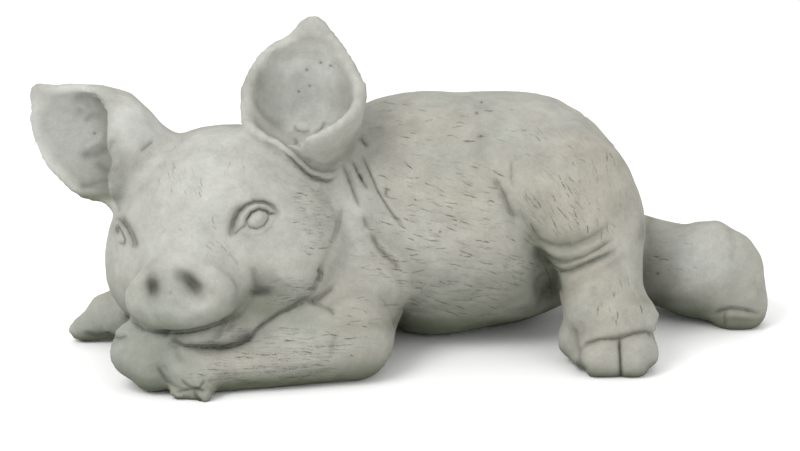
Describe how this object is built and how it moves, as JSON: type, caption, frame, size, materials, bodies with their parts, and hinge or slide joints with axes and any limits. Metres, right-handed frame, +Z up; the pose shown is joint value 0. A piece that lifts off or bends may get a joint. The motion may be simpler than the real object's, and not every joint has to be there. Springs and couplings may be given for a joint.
{
  "type": "pig garden statue",
  "caption": "Cast stone garden statue of a piglet lying on its belly, chin resting on its forelegs, face turned to the viewer and ears raised.",
  "frame": {"origin": "point on the flat underside below the chest", "axes": "+Z up, +X along the body from the snout to the rump, the side the face is turned to at -Y"},
  "size_m": [0.5118, 0.2472, 0.2278],
  "materials": {
    "cast_stone": "dry, pale grey cast stone with fine pores and incised hair, darker in the hollows"
  },
  "bodies": {
    "root": {"pig_statue": "cast_stone"}
  },
  "joints": []
}
